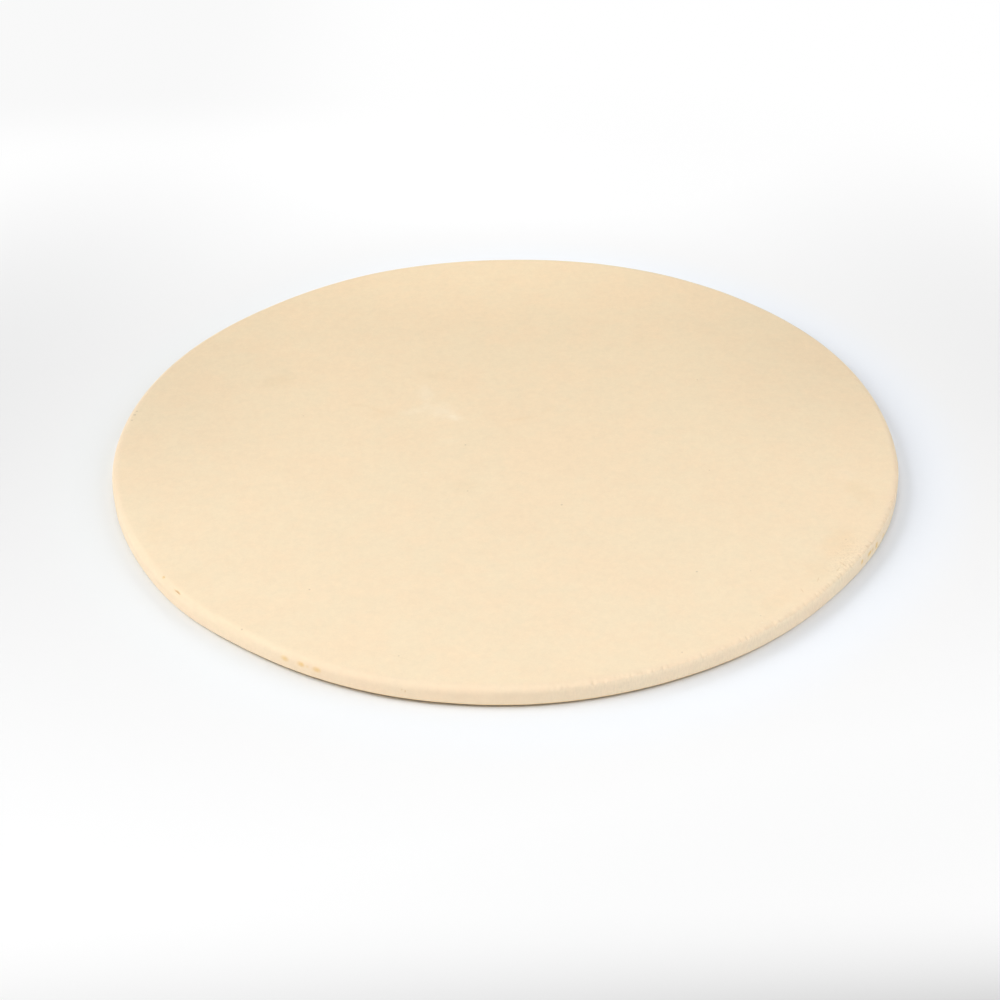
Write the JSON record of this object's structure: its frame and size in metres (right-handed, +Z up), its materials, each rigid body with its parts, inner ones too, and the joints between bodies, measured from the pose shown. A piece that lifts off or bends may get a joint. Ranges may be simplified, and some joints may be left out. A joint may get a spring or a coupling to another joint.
{
  "type": "pizza stone",
  "caption": "Thin round pizza stone of unglazed cream ceramic, flat on both faces with a rounded edge; it preheats on an oven rack and bakes dough from below.",
  "frame": {"origin": "centre of the underside, where the stone rests", "axes": "+Z up, out of the baking face, along the disc's axis; X and Y lie in the underside"},
  "size_m": [0.33, 0.33, 0.008],
  "materials": {
    "unglazed_ceramic": "matte"
  },
  "bodies": {
    "root": {"baking_stone": "unglazed_ceramic"}
  },
  "joints": []
}
